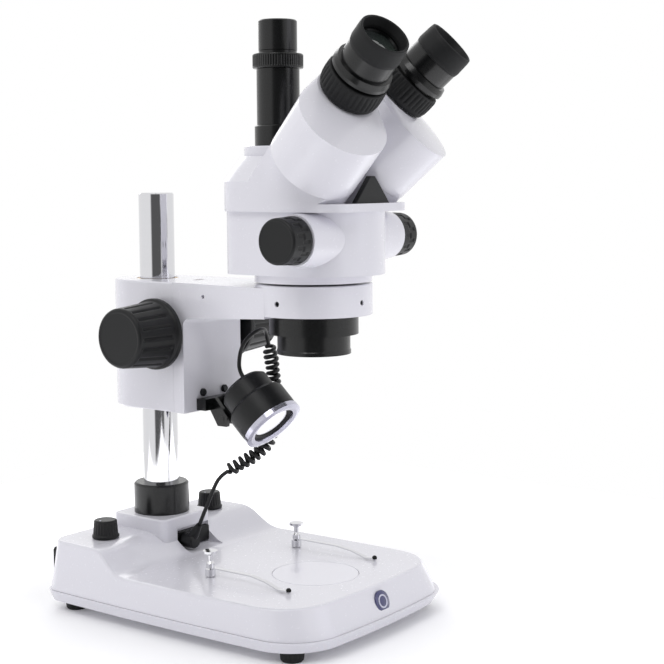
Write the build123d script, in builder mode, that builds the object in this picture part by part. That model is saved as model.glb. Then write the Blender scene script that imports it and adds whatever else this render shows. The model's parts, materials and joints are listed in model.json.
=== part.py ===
from build123d import *
import math
import os

# Stereo microscope: trinocular zoom head on a pillar stand with a lit base and a top lamp.
# Millimetres. +Z is up, the observer sits on the -Y side, the origin is on the bench under
# the middle of the instrument.

os.makedirs("parts", exist_ok=True)

# Driving dimensions
column_y = 125.1            # pillar axis
reach = 179.5               # pillar axis to optical axis
optic_y = column_y - reach

base_width = 228.0
base_rear = column_y + 43.0
base_front = column_y - 257.7
foot_height = 9.7
tray_top = 19.0
deck_top = 43.2
platform_top = 62.5
shell_wall = 3.2
pedestal_half = 32.0
pedestal_top = 74.8

pillar_r = 16.0
pillar_top = 369.7
pillar_foot = 30.0
bush_r = 19.0
running_gap = 0.05
part_gap = 0.3

block_half = 38.7
block_bottom = 177.1
block_top = 292.2
seam_y = column_y - 53.5
slide_front = column_y - 65.6
focus_axis_y = column_y - 41.1
focus_axis_z = 247.0
pinion_pitch_r = 7.4
knob_inner_x = 46.0
knob_outer_x = 93.0

ring_r = 50.0
ring_bottom = 268.7
ring_top = 294.8
head_bore_r = 38.05
barrel_r = 37.95

head_bottom = 296.5
head_body_z = 303.0
head_seam = 355.3
head_plate_top = 362.0
head_rear = column_y - 118.0
zoom_y = column_y - 209.1
zoom_z = 333.3

photo_y = column_y - 143.4
neck_top = 409.5

drum_r = 38.4
drum_length = 51.0
drum_tilt = 0.815           # from the vertical towards the observer
drum_toe = 0.20             # outward turn of each eye tube
drum_place = (49.8, column_y - 247.4, 428.1)
eye_inboard = 15.9          # eye tube axis from the drum axis
eye_uphill = 19.7
eye_rim = 70.0              # eyecup rim above the drum's top face

lamp_tilt = math.radians(42.8)
lamp_face = (0.0, column_y - 135.6, 167.2)
lamp_r = 28.0
lamp_pivot = (0.0, column_y - 84.0, 170.0)

cord_r = 1.8                # wire of the lamp cord
curl_r = 6.5                # outside of its curled stretch
plug_axis = (-5.0, column_y - 44.0, 52.4)
relief_end = (-4.6, column_y - 50.5, 68.5)
cord_top_route = [          # wire from the lamp's rear cap over to the curl
    (-4.0, column_y - 106.35, 206.55), (-4.0, column_y - 99.75, 212.65),
    (-3.0, column_y - 99.0, 226.0), (-1.5, column_y - 102.5, 238.0),
    (3.5, column_y - 107.0, 245.5), (11.5, column_y - 110.0, 249.6),
    (21.0, column_y - 109.0, 249.3), (28.9, column_y - 104.4, 243.2),
    (31.41, column_y - 104.49, 234.8)]
cord_curl_route = [         # middle of the curl, down past the lamp and under it
    (31.5, column_y - 104.5, 234.5), (36.0, column_y - 104.7, 219.5),
    (36.6, column_y - 106.0, 200.0), (37.0, column_y - 106.6, 179.0),
    (35.5, column_y - 106.0, 159.0), (29.5, column_y - 104.0, 143.5),
    (19.5, column_y - 96.5, 133.5), (11.0, column_y - 86.0, 126.5),
    (4.5, column_y - 76.5, 119.0)]
cord_low_route = [          # wire from the curl down to the plug
    (4.36, column_y - 76.29, 118.84), (0.6, column_y - 70.8, 114.5),
    (-1.6, column_y - 64.6, 101.5), (-3.3, column_y - 58.2, 85.5),
    relief_end]


def save(piece, name):
    piece.part.label = name
    export_step(piece.part, f"parts/{name}.step")


def save_pair(left, name):
    """The piece on the -X side and its mirror image on the +X side."""
    save(left, f"{name}_left")
    with BuildPart() as right:
        mirror(left.part, about=Plane.YZ)
    save(right, f"{name}_right")


def turned(plane, profile):
    """A closed profile of (radius, height) points turned about the plane's Z axis."""
    section = Plane(origin=plane.origin, x_dir=plane.x_dir, z_dir=-plane.y_dir)
    with BuildPart() as piece:
        with BuildSketch(section):
            with BuildLine():
                Polyline(*profile, close=True)
            make_face()
        revolve(axis=Axis(plane.origin, plane.z_dir))
    return piece


def bored(plane, outer, inner, low, high):
    """A plain ring or tube."""
    return turned(plane, [(inner, low), (outer, low), (outer, high), (inner, high)])


def upright(x, y, z=0.0):
    return Plane(origin=(x, y, z), x_dir=(1, 0, 0), z_dir=(0, 0, 1))


def sideways(x, y, z):
    """A plane whose Z axis points to +X."""
    return Plane(origin=(x, y, z), x_dir=(0, 1, 0), z_dir=(1, 0, 0))


# ---- base ---------------------------------------------------------------------------------

def base_outline(height, inset_side, inset_front, inset_rear):
    """Plan of the base at one height: bowed front and sides, large front corners."""
    half = base_width / 2 - inset_side
    front = base_front + inset_front
    rear = base_rear - inset_rear
    side_bow = 3.0
    front_bow = 7.0
    with BuildSketch(Plane.XY.offset(height)) as plan:
        with BuildLine():
            Line((-half + side_bow, rear), (half - side_bow, rear))
            ThreePointArc((half - side_bow, rear), (half, (front + rear) / 2),
                          (half - side_bow, front + front_bow))
            ThreePointArc((half - side_bow, front + front_bow), (0, front),
                          (-half + side_bow, front + front_bow))
            ThreePointArc((-half + side_bow, front + front_bow), (-half, (front + rear) / 2),
                          (-half + side_bow, rear))
        make_face()
        fillet(plan.vertices().sort_by(Axis.Y)[:2], radius=46)
        fillet(plan.vertices().sort_by(Axis.Y)[-2:], radius=16)
    return plan


def deck_side(drop):
    """Side view of the base: flat stage deck, swept slope, raised rear platform."""
    slope_foot = column_y - 56.0
    slope_head = column_y - 9.0
    deck = deck_top - drop
    platform = platform_top - drop
    with BuildSketch(Plane.YZ) as side:
        with BuildLine():
            Line((base_front - 20, tray_top - 10), (base_front - 20, deck))
            Line((base_front - 20, deck), (slope_foot, deck))
            Spline((slope_foot, deck), (slope_head, platform),
                   tangents=[(1, 0), (1, 0)])
            Line((slope_head, platform), (base_rear + 20, platform))
            Line((base_rear + 20, platform), (base_rear + 20, tray_top - 10))
            Line((base_rear + 20, tray_top - 10), (base_front - 20, tray_top - 10))
        make_face()
    return side


def base_volume(bottom, inset, drop):
    """Drafted base body between its bottom and its deck; inset and drop give the inner wall."""
    low = base_outline(bottom, 1.5 + inset, 3.0 + inset, 1.0 + inset)
    high = base_outline(platform_top + 4, 10.0 + inset, 27.0 + inset, 3.0 + inset)
    side = deck_side(drop)
    with BuildPart() as body:
        loft([low.sketch, high.sketch])
        extrude(side.sketch, amount=base_width, both=True, mode=Mode.INTERSECT)
    return body


def base_parts():
    outer = base_volume(tray_top + 0.2, 0.0, 0.0)
    inner = base_volume(tray_top - 0.5, shell_wall, shell_wall)
    rounding = 2.5
    with BuildPart() as seat_block:
        with Locations((lamp_socket_x + 13, column_y - pedestal_half - 14, deck_top - 4)):
            Box(lamp_panel_w + 10, 30, 30, align=(Align.CENTER, Align.CENTER, Align.MIN))
        add(outer.part, mode=Mode.INTERSECT)
    with BuildPart() as shell:
        add(outer.part)
        fillet(shell.edges().filter_by(lambda e: e.center().Z > deck_top - 2), radius=rounding)
        add(inner.part, mode=Mode.SUBTRACT)
        add(seat_block.part)
        with BuildSketch(Plane.XY.offset(tray_top + 4)):
            with Locations((0, column_y)):
                RectangleRounded(2 * pedestal_half, 2 * pedestal_half, 6)
        extrude(amount=pedestal_top - tray_top - 4)
        fillet(shell.faces().filter_by(Axis.Z).sort_by(Axis.Z)[-1].edges(), radius=1.6)
        with Locations((0, column_y, 0)):
            Hole(radius=pillar_r + running_gap, depth=200)
        with Locations((0, optic_y, deck_top)):
            Cylinder(37.5 + part_gap, 2.6, align=(Align.CENTER, Align.CENTER, Align.MAX),
                     mode=Mode.SUBTRACT)
            Cylinder(33.0, 20, mode=Mode.SUBTRACT)
        for side in (-1, 1):
            with Locations((side * 70.4, column_y + 2.9, platform_top - 10)):
                Cylinder(3.3, 30, mode=Mode.SUBTRACT)
            with Locations((side * 60.2, column_y - 112.1, deck_top - 10)):
                Cylinder(3.0 + part_gap, 30, mode=Mode.SUBTRACT)
        with BuildSketch(Plane.XZ.offset(-(column_y - pedestal_half))):
            with Locations((lamp_socket_x + 13, lamp_socket_z)):
                RectangleRounded(lamp_panel_w, lamp_panel_h, 2)
        extrude(amount=-10, mode=Mode.SUBTRACT)
        with BuildSketch(Plane.XY.offset(deck_top + 0.6)):
            with Locations((lamp_socket_x + 13, column_y - pedestal_half - 8)):
                RectangleRounded(lamp_panel_w, 26, 6)
        extrude(amount=20, mode=Mode.SUBTRACT)
        with BuildSketch(Plane.XZ.offset(-(base_rear + 5))):
            with Locations((0, 36)):
                RectangleRounded(176, 24, 3)
        extrude(amount=14, mode=Mode.SUBTRACT)
    save(shell, "base_shell")

    tray_wall = 3.0
    low = base_outline(foot_height, 3.0, 5.0, 2.0)
    high = base_outline(tray_top, 0.0, 0.0, 0.0)
    low_in = base_outline(foot_height + tray_wall, 3.0 + tray_wall, 5.0 + tray_wall, 2.0 + tray_wall)
    high_in = base_outline(tray_top + 0.1, tray_wall, tray_wall, tray_wall)
    with BuildPart() as tray:
        loft([low.sketch, high.sketch])
        loft([low_in.sketch, high_in.sketch], mode=Mode.SUBTRACT)
        with Locations((0, column_y, foot_height + tray_wall)):
            Cylinder(15.0, pillar_foot - foot_height - tray_wall,
                     align=(Align.CENTER, Align.CENTER, Align.MIN))
        with Locations((0, column_y, foot_height)):
            CounterBoreHole(radius=4.2, counter_bore_radius=8.0, counter_bore_depth=6.0, depth=60)
    save(tray, "base_tray")

    foot_x = base_width / 2 - 24
    foot_front = base_front + 34
    foot_rear = base_rear - 22
    with BuildPart() as feet:
        for x in (-foot_x, foot_x):
            for y in (foot_front, foot_rear):
                add(turned(upright(x, y), [(0, 0), (8.5, 0), (9.5, 1.2), (10.5, foot_height),
                                           (0, foot_height)]).part)
    save(feet, "rubber_feet")

    with BuildPart() as screws:
        add(turned(upright(0, column_y, foot_height + 0.3),
                   [(0, 0), (7.6, 0), (7.6, 5.4), (4.0, 5.4), (4.0, 38.0), (0, 38.0)]).part)
        for x in (-70.0, 70.0):
            for y in (base_front + 60, base_rear - 60):
                add(turned(upright(x, y, foot_height),
                           [(0, -1.5), (2.6, -1.5), (3.6, -0.5), (3.6, 0), (0, 0)]).part)
    save(screws, "base_screws")


def pillar_parts():
    axis = upright(0, column_y)
    save(turned(axis, [(4.1, pillar_foot), (pillar_r, pillar_foot), (pillar_r, pillar_top - 1.2),
                       (pillar_r - 1.2, pillar_top), (0, pillar_top), (0, pillar_top - 6),
                       (12.0, pillar_top - 6), (12.0, pillar_foot + 22), (4.1, pillar_foot + 22)]),
         "pillar")
    save(turned(axis, [(pillar_r + 0.02, pedestal_top), (25.4, pedestal_top), (25.4, 100.9),
                       (23.6, 102.7), (pillar_r + 0.02, 102.7)]), "pillar_collar")


lamp_socket_x = -5.0
lamp_socket_z = 52.4
lamp_panel_w = 44.0
lamp_panel_h = 15.0


def electrical_parts():
    socket_front = column_y - pedestal_half
    with BuildPart() as socket:
        with BuildSketch(Plane.XZ.offset(-(socket_front + 9.7))):
            with Locations((lamp_socket_x + 13, lamp_socket_z)):
                RectangleRounded(lamp_panel_w - 0.4, lamp_panel_h - 0.4, 2)
        extrude(amount=9.3)
        with Locations(Location((lamp_socket_x, socket_front, lamp_socket_z), (90, 0, 0))):
            Cylinder(3.3, 16, mode=Mode.SUBTRACT)
    save(socket, "lamp_socket")

    with BuildPart() as panel:
        with BuildSketch(Plane.XZ.offset(-(base_rear + 4.0))):
            with Locations((0, 36.5)):
                RectangleRounded(186, 31, 3)
        extrude(amount=4.4)
        with BuildSketch(Plane.XZ.offset(-(base_rear - 0.4))):
            with Locations((0, 36)):
                RectangleRounded(170, 22, 3)
        extrude(amount=-3)
        with Locations((62, base_rear, 36.5)):
            Box(28, 30, 20.6, mode=Mode.SUBTRACT)
        with Locations((-62, base_rear, 36.5)):
            Box(22.6, 30, 14.6, mode=Mode.SUBTRACT)
    save(panel, "rear_panel")

    with BuildPart() as inlet:
        with Locations((62, base_rear - 7, 36.5)):
            Box(27.6, 21.6, 20.2)
        with BuildSketch(Plane.XZ.offset(-(base_rear + 3.8))):
            with Locations((62, 36.5)):
                Rectangle(21, 14)
        extrude(amount=15, mode=Mode.SUBTRACT)
        for x in (-7, 0, 7):
            with Locations((62 + x, base_rear - 7, 36.5 + (2.5 if x == 0 else -1.5))):
                Box(1.6, 14, 4)
    save(inlet, "power_inlet")

    with BuildPart() as rocker:
        with BuildSketch(Plane.YZ.offset(-62 - 10)):
            with BuildLine():
                Polyline((base_rear + 3.0, 30.0), (base_rear + 5.6, 30.4), (base_rear + 4.4, 36.5),
                         (base_rear + 5.6, 42.6), (base_rear + 3.0, 43.0), (base_rear - 1.0, 40.0),
                         (base_rear - 1.0, 33.0), close=True)
            make_face()
        extrude(amount=20)
        with Locations(Location((-62, base_rear + 1.0, 36.5), (0, 90, 0))):
            Cylinder(1.2, 30, mode=Mode.SUBTRACT)
    save(rocker, "power_rocker")

    with BuildPart() as board:
        with Locations((0, column_y - 70, 17.0)):
            Box(150, 60, 1.6)
        with Locations((-40, column_y - 70, 21.4)):
            Box(26, 22, 7.2)
        with Locations((30, column_y - 80, 20.3), (30, column_y - 56, 20.3)):
            Cylinder(5, 5.0)
        for x in (-70.4, 70.4):
            with Locations((x, column_y + 2.9, platform_top - shell_wall - 5.1)):
                Cylinder(8.2, 9.8)
            with Locations((x, column_y + 2.9, platform_top - shell_wall)):
                Cylinder(3.0, 14.0, align=(Align.CENTER, Align.CENTER, Align.MIN))
    save(board, "driver_board")

    with BuildPart() as light:
        with Locations((0, optic_y, 16.0)):
            Cylinder(26, 3.0)
            with PolarLocations(14, 6):
                Cylinder(3.2, 6.0)
        with Locations((0, optic_y, 17.5)):
            Cylinder(29, 19, align=(Align.CENTER, Align.CENTER, Align.MIN))
            Cylinder(27, 19.1, align=(Align.CENTER, Align.CENTER, Align.MIN), mode=Mode.SUBTRACT)
        with Locations((0, optic_y, 18.0)):
            Cylinder(3.2, 2.0)
    save(light, "stage_light")

    save(turned(upright(0, optic_y), [(0, deck_top - 2.5), (37.5, deck_top - 2.5),
                                      (37.5, deck_top - 0.3), (37.1, deck_top + 0.1),
                                      (0, deck_top + 0.1)]), "stage_plate")


def dimmer_parts():
    seat = platform_top + part_gap
    left = turned(upright(-70.4, column_y + 2.9),
                  [(3.05, seat), (11.6, seat), (12.2, seat + 1.5), (10.3, seat + 15.6),
                   (9.3, seat + 16.6), (0, seat + 16.6), (0, seat + 13.2), (3.05, seat + 13.2)])
    save_pair(left, "dimmer_knob")


def clip_parts():
    post_x = -60.2
    post_y = column_y - 112.1
    tip_y = column_y - 198.0
    arm_z = deck_top + 8.2
    post = turned(upright(post_x, post_y),
                  [(0, deck_top - 12), (3.0, deck_top - 12), (3.0, deck_top + 1.0),
                   (4.6, deck_top + 1.0), (4.6, deck_top + 7.0), (3.6, deck_top + 8.0),
                   (3.6, deck_top + 12.0), (2.2, deck_top + 14.0), (2.2, deck_top + 19.0),
                   (6.4, deck_top + 21.0), (6.4, deck_top + 23.0), (0, deck_top + 23.0)])
    with BuildPart() as clip:
        add(post.part)
        with BuildLine() as wire:
            Polyline((post_x, post_y, arm_z), (post_x, post_y - 46, arm_z),
                     (post_x - 1.0, post_y - 62, arm_z - 2.2),
                     (post_x - 1.6, tip_y + 9, deck_top + 1.6),
                     (post_x - 1.8, tip_y, deck_top + 2.4))
        with BuildSketch(Plane(origin=(post_x, post_y, arm_z), x_dir=(1, 0, 0), z_dir=(0, -1, 0))):
            Rectangle(4.0, 1.0)
        sweep(path=wire.line, transition=Transition.RIGHT)
        with Locations((post_x - 1.8, tip_y - 0.6, deck_top + 2.3)):
            Sphere(2.1)
    save_pair(clip, "stage_clip")


# ---- pillar bush, focus block and drive ----------------------------------------------------

def block_parts():
    axis = upright(0, column_y)
    save(bored(axis, bush_r, pillar_r + running_gap, block_bottom + 0.4, block_top - 0.4),
         "pillar_bush")

    lock_z = 205.0
    with BuildPart() as block:
        with BuildSketch(Plane.XY.offset(block_bottom)):
            with Locations((0, column_y)):
                Circle(block_half)
            with Locations((0, (column_y + seam_y + 0.1) / 2)):
                Rectangle(2 * block_half, column_y - seam_y - 0.1)
        extrude(amount=block_top - block_bottom)
        chamfer(block.faces().filter_by(Axis.Z).edges().filter_by(GeomType.CIRCLE), length=1.2)
        with Locations((0, column_y, 0)):
            Hole(radius=bush_r + running_gap, depth=400)
        with Locations(Location((0, focus_axis_y, focus_axis_z), (0, 90, 0))):
            Cylinder(5.0 + running_gap, 200, mode=Mode.SUBTRACT)
            Cylinder(pinion_pitch_r + 0.5, 17, mode=Mode.SUBTRACT)
        with Locations((0, seam_y, (block_bottom + block_top) / 2)):
            Box(13.2, 11.0, 200, mode=Mode.SUBTRACT)
        with Locations(Location((block_half, column_y, lock_z), (0, 90, 0))):
            Cylinder(4.0 + running_gap, 60, mode=Mode.SUBTRACT)
    save(block, "focus_block")

    save(turned(sideways(0, column_y, lock_z),
                [(0, bush_r + 0.3), (4.0, bush_r + 0.3), (4.0, block_half + 3.0),
                 (12.0, block_half + 3.0), (14.5, block_half + 6.0), (14.5, block_half + 22.0),
                 (12.5, block_half + 24.0), (0, block_half + 24.0)]), "pillar_lock_knob")

    save(turned(sideways(0, focus_axis_y, focus_axis_z),
                [(0, -86.0), (5.0, -86.0), (5.0, -8.0), (pinion_pitch_r, -8.0),
                 (pinion_pitch_r, 8.0), (5.0, 8.0), (5.0, 86.0), (0, 86.0)]), "focus_pinion")

    hub = block_half + part_gap
    left = turned(Plane(origin=(0, focus_axis_y, focus_axis_z), x_dir=(0, 1, 0), z_dir=(-1, 0, 0)),
                  [(5.0, hub), (15.0, hub), (15.0, knob_inner_x), (31.3, knob_inner_x),
                   (31.3, knob_inner_x + 5.5), (29.6, knob_inner_x + 8.5),
                   (26.2, knob_outer_x - 2.4), (24.0, knob_outer_x), (0, knob_outer_x),
                   (0, 86.2), (5.0, 86.2)])
    save_pair(left, "focus_knob")


def carriage_parts():
    arm_low = 261.5
    ring_arm_low = 267.5
    ring_half = 47.5
    with BuildPart() as arm:
        with BuildSketch(Plane.XY.offset(block_bottom)):
            with Locations((0, (seam_y - 0.1 + slide_front) / 2)):
                Rectangle(2 * block_half, seam_y - 0.1 - slide_front)
        extrude(amount=block_top - block_bottom)
        with BuildSketch(Plane.XY.offset(arm_low)):
            with BuildLine():
                Polyline((-block_half, seam_y - 0.1), (-block_half, slide_front - 4),
                         (-ring_half, optic_y + 15.6), (ring_half, optic_y + 15.6),
                         (block_half, slide_front - 4), (block_half, seam_y - 0.1), close=True)
            make_face()
        extrude(amount=block_top - arm_low)
        with BuildSketch(Plane.YZ.offset(-100)):
            with BuildLine():
                Polyline((slide_front - 8, arm_low), (optic_y, ring_arm_low), (optic_y, arm_low - 1),
                         (slide_front - 8, arm_low - 1), close=True)
            make_face()
        extrude(amount=200, mode=Mode.SUBTRACT)
        corner_edges = arm.edges().filter_by(Axis.X).filter_by(
            lambda e: abs(e.center().Y - slide_front) < 0.5 and abs(e.center().Z - arm_low) < 1.5)
        fillet(corner_edges, radius=7.5)
        with Locations((0, optic_y, ring_bottom)):
            Cylinder(ring_r, ring_top - ring_bottom, align=(Align.CENTER, Align.CENTER, Align.MIN))
        chamfer(arm.faces().sort_by(Axis.Z)[-1].edges().filter_by(GeomType.CIRCLE), length=0.8)
        with Locations((0, optic_y, 0)):
            Hole(radius=head_bore_r, depth=400)
        for x, y in ((-ring_r, 0), (ring_r, 0), (0, -ring_r)):
            turn = (0, 90, 0) if y == 0 else (90, 0, 0)
            with Locations(Location((x, optic_y + y, 280.0), turn)):
                Cylinder(2.3, 2 * (ring_r - head_bore_r) + 2, mode=Mode.SUBTRACT)
        with Locations(Location((-block_half, column_y - 91.0, 281.5), (0, 90, 0))):
            Cylinder(1.7, 8, mode=Mode.SUBTRACT)
    save(arm, "arm")

    with BuildPart() as rack:
        with Locations((0, seam_y - 0.1, (block_bottom + block_top) / 2)):
            Box(12.6, 4.8, 112.0, align=(Align.CENTER, Align.MIN, Align.CENTER))
    save(rack, "focus_rack")

    with BuildPart() as screws:
        for x, y in ((-1, 0), (1, 0), (0, -1)):
            turn = Plane(origin=(0, optic_y, 280.0), x_dir=(0, 0, 1), z_dir=(x, y, 0))
            add(turned(turn, [(0, head_bore_r + 0.4), (2.3, head_bore_r + 0.4), (2.3, ring_r - 1.4),
                              (1.2, ring_r - 1.4), (1.2, ring_r - 3.4), (0, ring_r - 3.4)]).part)
        for x in (-14.4, 14.4):
            turn = Plane(origin=(x, slide_front, 193.4), x_dir=(1, 0, 0), z_dir=(0, -1, 0))
            add(turned(turn, [(0, 0), (3.4, 0), (3.4, 1.8), (2.6, 2.8), (0, 2.8)]).part)
    save(screws, "carriage_screws")

    ear_low = 163.5
    with BuildPart() as bracket:
        with Locations((0, slide_front, 183.4)):
            Box(45, 10.5, 10.2, align=(Align.CENTER, Align.MAX, Align.CENTER))
        with BuildSketch(Plane.YZ.offset(-10)):
            with BuildLine():
                Polyline((slide_front - 4, 188.4), (slide_front - 10.4, 188.4),
                         (lamp_pivot[1] - 6.5, 172.5), (lamp_pivot[1] - 5.0, ear_low),
                         (lamp_pivot[1] + 5.0, ear_low), (slide_front - 4, 178.4), close=True)
            make_face()
        extrude(amount=20)
        with Locations((0, lamp_pivot[1], 172.0)):
            Box(11.4, 18.8, 33.0, mode=Mode.SUBTRACT)
        with Locations(Location(lamp_pivot, (0, 90, 0))):
            Cylinder(2.5, 20.6)
    save(bracket, "lamp_bracket")


# ---- zoom head -----------------------------------------------------------------------------

def head_plan(height, half, front, corner, inset=0.0):
    """Plan of an upper head casting: rounded rectangle between the rear face and the front."""
    rear = head_rear - inset
    with BuildSketch(Plane.XY.offset(height)) as plan:
        with Locations((0, (rear + front + inset) / 2)):
            RectangleRounded(2 * (half - inset), rear - front - inset, corner - inset)
    return plan


def lower_plan(height, inset):
    """Plan of the lower casting: square-cornered rear and a half-round front."""
    half = 52.0 - inset
    nose_y = column_y - 190.0
    rear = head_rear - inset
    with BuildSketch(Plane.XY.offset(height)) as plan:
        with Locations((0, (rear + nose_y) / 2)):
            Rectangle(2 * half, rear - nose_y)
        fillet(plan.vertices().sort_by(Axis.Y)[-2:], radius=20 - inset)
        with Locations((0, nose_y)):
            Circle(half)
    return plan


def tube_axis(side):
    return Vector(side * math.sin(drum_toe), -math.cos(drum_toe) * math.sin(drum_tilt),
                  math.cos(drum_toe) * math.cos(drum_tilt))


def drum_plane(side):
    """Centre of a drum's top face, Z along the drum, X towards the middle of the head."""
    axis = tube_axis(side)
    inboard = Vector(-side, 0, 0)
    inboard = (inboard - axis * inboard.dot(axis)).normalized()
    x, y, z = drum_place
    return Plane(origin=(side * x, y, z), x_dir=inboard, z_dir=axis)


def eye_plane(side):
    """Foot of an eye tube on the drum's top face, same directions as the drum."""
    drum = drum_plane(side)
    uphill = drum.y_dir * -side
    origin = Vector(drum.origin) + drum.x_dir * eye_inboard + uphill * eye_uphill
    return Plane(origin=origin, x_dir=drum.x_dir, z_dir=drum.z_dir)


def lower_head_parts():
    wall = 3.6
    body = lower_plan(head_body_z, 0.0)
    room = lower_plan(head_body_z + wall, wall)
    with BuildPart() as housing:
        extrude(body.sketch, amount=head_seam - head_body_z)
        for side in (-1, 1):
            boss = Plane(origin=(0, zoom_y, zoom_z), x_dir=(0, 1, 0), z_dir=(side, 0, 0))
            add(turned(boss, [(0, 12.0), (26.0, 12.0), (20.6, 64.0), (0, 64.0)]).part)
        with Locations((0, optic_y, head_bottom)):
            Cylinder(ring_r - 0.4, head_body_z - head_bottom + 1,
                     align=(Align.CENTER, Align.CENTER, Align.MIN))
        extrude(room.sketch, amount=head_seam - head_body_z, mode=Mode.SUBTRACT)
        with Locations((0, zoom_y, head_seam)):
            Box(200, 80, 20, align=(Align.CENTER, Align.CENTER, Align.MIN), mode=Mode.SUBTRACT)
        with Locations((0, optic_y, 0)):
            Hole(radius=barrel_r + 0.05, depth=head_body_z + 10)
        with Locations(Location((0, zoom_y, zoom_z), (0, 90, 0))):
            Cylinder(4.0 + running_gap, 200, mode=Mode.SUBTRACT)
            Cylinder(14.0, 97.0, mode=Mode.SUBTRACT)
    save(housing, "lower_housing")

    axis = upright(0, optic_y)
    save(turned(axis, [(24.0, 235.1), (31.6, 235.1), (31.6, 238.0), (31.0, 239.0), (31.0, 251.9),
                       (38.0, 251.9), (38.0, 266.0), (barrel_r, 266.5), (barrel_r, 305.5),
                       (33.0, 305.5), (33.0, 256.0), (26.0, 250.0), (26.0, 240.0), (24.0, 240.0)]),
         "objective_barrel")

    with BuildPart() as lens:
        add(turned(axis, [(0, 240.4), (25.8, 240.1), (25.8, 247.0), (0, 249.0)]).part)
    save(lens, "objective_lens")

    save(turned(sideways(0, zoom_y, zoom_z),
                [(0, -84.0), (4.0, -84.0), (4.0, -6.0), (5.8, -6.0), (5.8, 6.0), (4.0, 6.0),
                 (4.0, 84.0), (0, 84.0)]), "zoom_shaft")
    left = turned(Plane(origin=(0, zoom_y, zoom_z), x_dir=(0, 1, 0), z_dir=(-1, 0, 0)),
                  [(4.0, 65.0), (19.0, 65.0), (19.7, 66.0), (18.6, 85.6), (16.8, 87.4), (0, 87.4),
                   (0, 84.2), (4.0, 84.2)])
    save_pair(left, "zoom_knob")

    for name, rack_y, plate_z in (("upper_lens_carrier", zoom_y + 6.1, 340.0),
                                  ("lower_lens_carrier", zoom_y - 9.1, 322.0)):
        with BuildPart() as carrier:
            with Locations((0, rack_y, (plate_z + zoom_z) / 2)):
                Box(9.0, 3.0, abs(plate_z - zoom_z) + 16, align=(Align.CENTER, Align.MIN, Align.CENTER))
            with Locations((0, optic_y, plate_z)):
                Box(58, 24, 4)
            with Locations((-20, (optic_y + rack_y) / 2, plate_z), (20, (optic_y + rack_y) / 2, plate_z)):
                Box(6, optic_y - rack_y, 4)
            with Locations((0, rack_y + 1.5, plate_z)):
                Box(46, 3, 4)
            with Locations((-14.5, optic_y, plate_z), (14.5, optic_y, plate_z)):
                Hole(radius=9.0, depth=20)
            for x in (-14.5, 14.5):
                add(turned(upright(x, optic_y, plate_z),
                           [(0, -2.4), (9.0, -1.2), (9.0, 1.2), (0, 2.4)]).part)
        save(carrier, name)


def upper_head_parts():
    shoulder = 380.0
    neck_foot_z = 401.0
    body_front = column_y - 202.0
    seat_drop = drum_length + part_gap
    plate = head_plan(head_seam, 56.0, column_y - 245.0, 22.0)
    block = head_plan(head_seam, 56.0, body_front, 22.0)
    crown = head_plan(shoulder, 56.0, body_front, 22.0)
    with BuildSketch(Plane.XY.offset(neck_foot_z)) as neck_foot:
        with Locations((0, photo_y)):
            Circle(31.5)
    with BuildPart() as above_seats:
        for side in (-1, 1):
            drum = drum_plane(side)
            seat = Plane(origin=Vector(drum.origin) - drum.z_dir * seat_drop, x_dir=drum.x_dir,
                         z_dir=drum.z_dir)
            with BuildSketch(seat):
                Circle(75)
            extrude(amount=90)
    with BuildPart() as collars:
        for side in (-1, 1):
            drum = drum_plane(side)
            foot = Plane(origin=Vector(drum.origin) - drum.z_dir * (seat_drop + 48), x_dir=drum.x_dir,
                         z_dir=drum.z_dir)
            with BuildSketch(foot):
                Circle(drum_r - 0.4)
            extrude(amount=48)
        extrude(plate.sketch, amount=100, mode=Mode.INTERSECT)
    with BuildPart() as housing:
        extrude(block.sketch, amount=shoulder - head_seam)
        loft([crown.sketch, neck_foot.sketch])
        with Locations((0, photo_y, shoulder)):
            Cylinder(29.5, neck_top - shoulder, align=(Align.CENTER, Align.CENTER, Align.MIN))
        fillet(housing.faces().sort_by(Axis.Z)[-1].edges(), radius=1.5)
        add(above_seats.part, mode=Mode.SUBTRACT)
        add(collars.part)
        extrude(plate.sketch, amount=head_plate_top - head_seam)
        with Locations((0, photo_y, 0)):
            Hole(radius=14.0, depth=500)
        with Locations((0, column_y - 165.0, head_seam + 8.0)):
            Box(78, 66, 20, mode=Mode.SUBTRACT)
        for side in (-1, 1):
            drum = drum_plane(side)
            with BuildSketch(drum):
                Circle(11)
            extrude(amount=-92, mode=Mode.SUBTRACT)
    save(housing, "upper_housing")

    with BuildPart() as screws:
        for x, y, z in ((-48.0, -118.0, 372.0), (48.0, -118.0, 372.0), (-30.0, -118.0, 318.0),
                        (30.0, -118.0, 318.0)):
            turn = Plane(origin=(x * 0.6, column_y + y, z), x_dir=(1, 0, 0), z_dir=(0, 1, 0))
            add(turned(turn, [(0, 0), (3.0, 0), (3.0, 1.2), (2.2, 2.0), (0, 2.0)]).part)
    save(screws, "head_screws")


def photo_parts():
    axis = upright(0, photo_y)
    save(turned(axis, [(16.5, neck_top), (20.2, neck_top), (20.2, 426.0), (19.2, 427.0),
                       (18.2, 427.4), (18.2, 474.0), (16.5, 474.0)]), "photo_sleeve")
    save(turned(axis, [(16.6, 474.5), (21.5, 474.5), (21.5, 485.8), (20.7, 486.6),
                       (16.6, 486.6)]), "photo_lock_ring")
    save(turned(axis, [(11.6, 432.0), (16.1, 432.0), (16.1, 489.0), (16.4, 489.5),
                       (16.4, 513.7), (15.4, 514.7), (11.6, 514.7)]), "photo_tube")


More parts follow.
